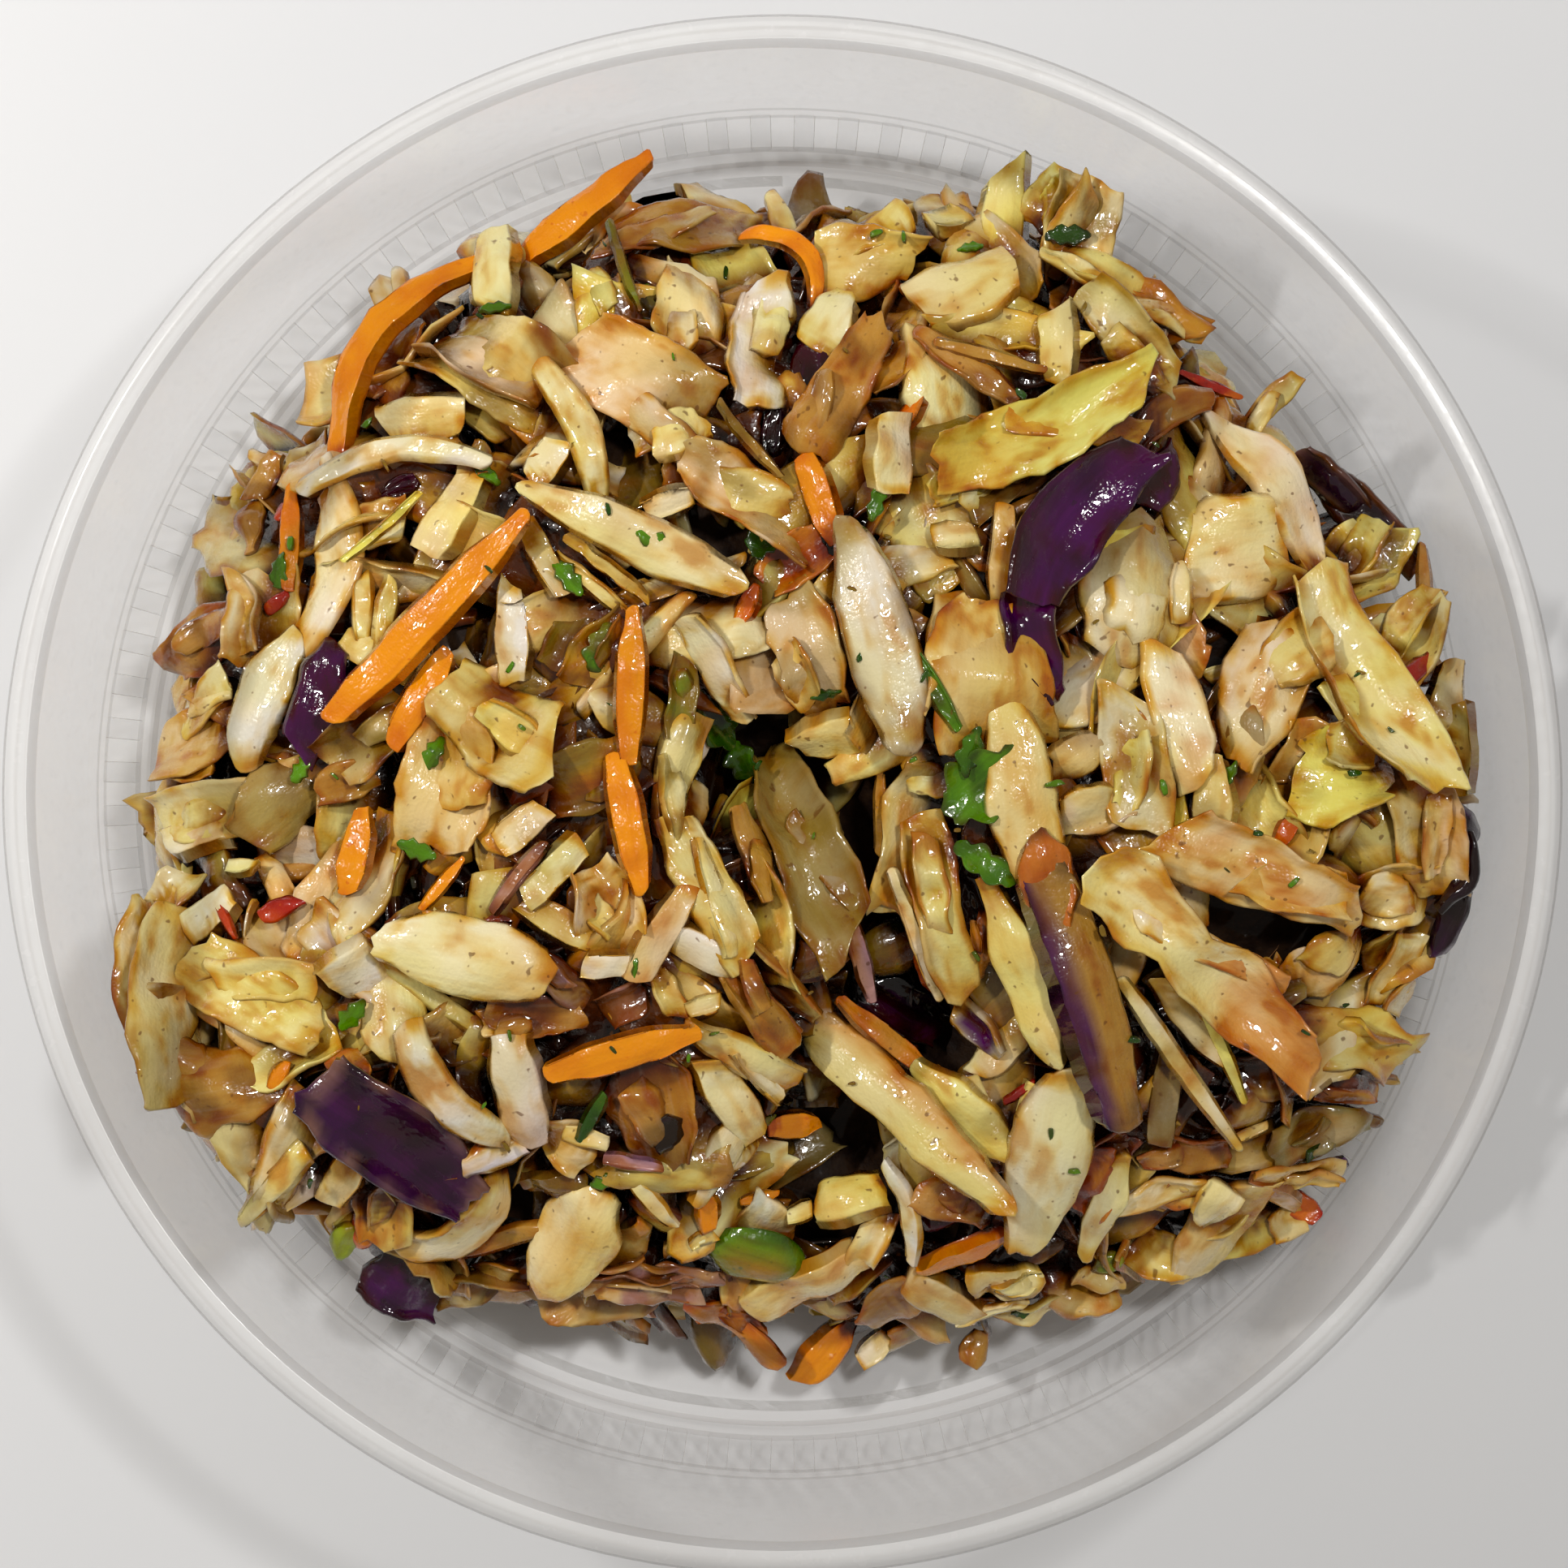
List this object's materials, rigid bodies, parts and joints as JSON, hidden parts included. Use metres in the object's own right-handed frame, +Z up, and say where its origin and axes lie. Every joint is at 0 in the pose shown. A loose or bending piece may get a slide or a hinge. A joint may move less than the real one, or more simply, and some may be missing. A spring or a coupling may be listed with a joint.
{
  "type": "coleslaw in a plastic cup",
  "caption": "Dressed chopped coleslaw of white and red cabbage, carrot and herbs, heaped in a low round translucent plastic cup with a flanged rim and a ribbed foot band.",
  "frame": {"origin": "middle of the foot ring's underside, where the cup stands on a table", "axes": "+Z up out of the cup, +Y towards the top of the view from above, +X to its right"},
  "size_m": [0.117, 0.117, 0.044],
  "materials": {
    "cup": "translucent milky moulded polypropylene, smooth with a soft shine",
    "slaw": "moist chopped vegetables in a thin glossy brown dressing"
  },
  "bodies": {
    "root": {"cup": "cup", "slaw": "slaw"}
  },
  "joints": []
}
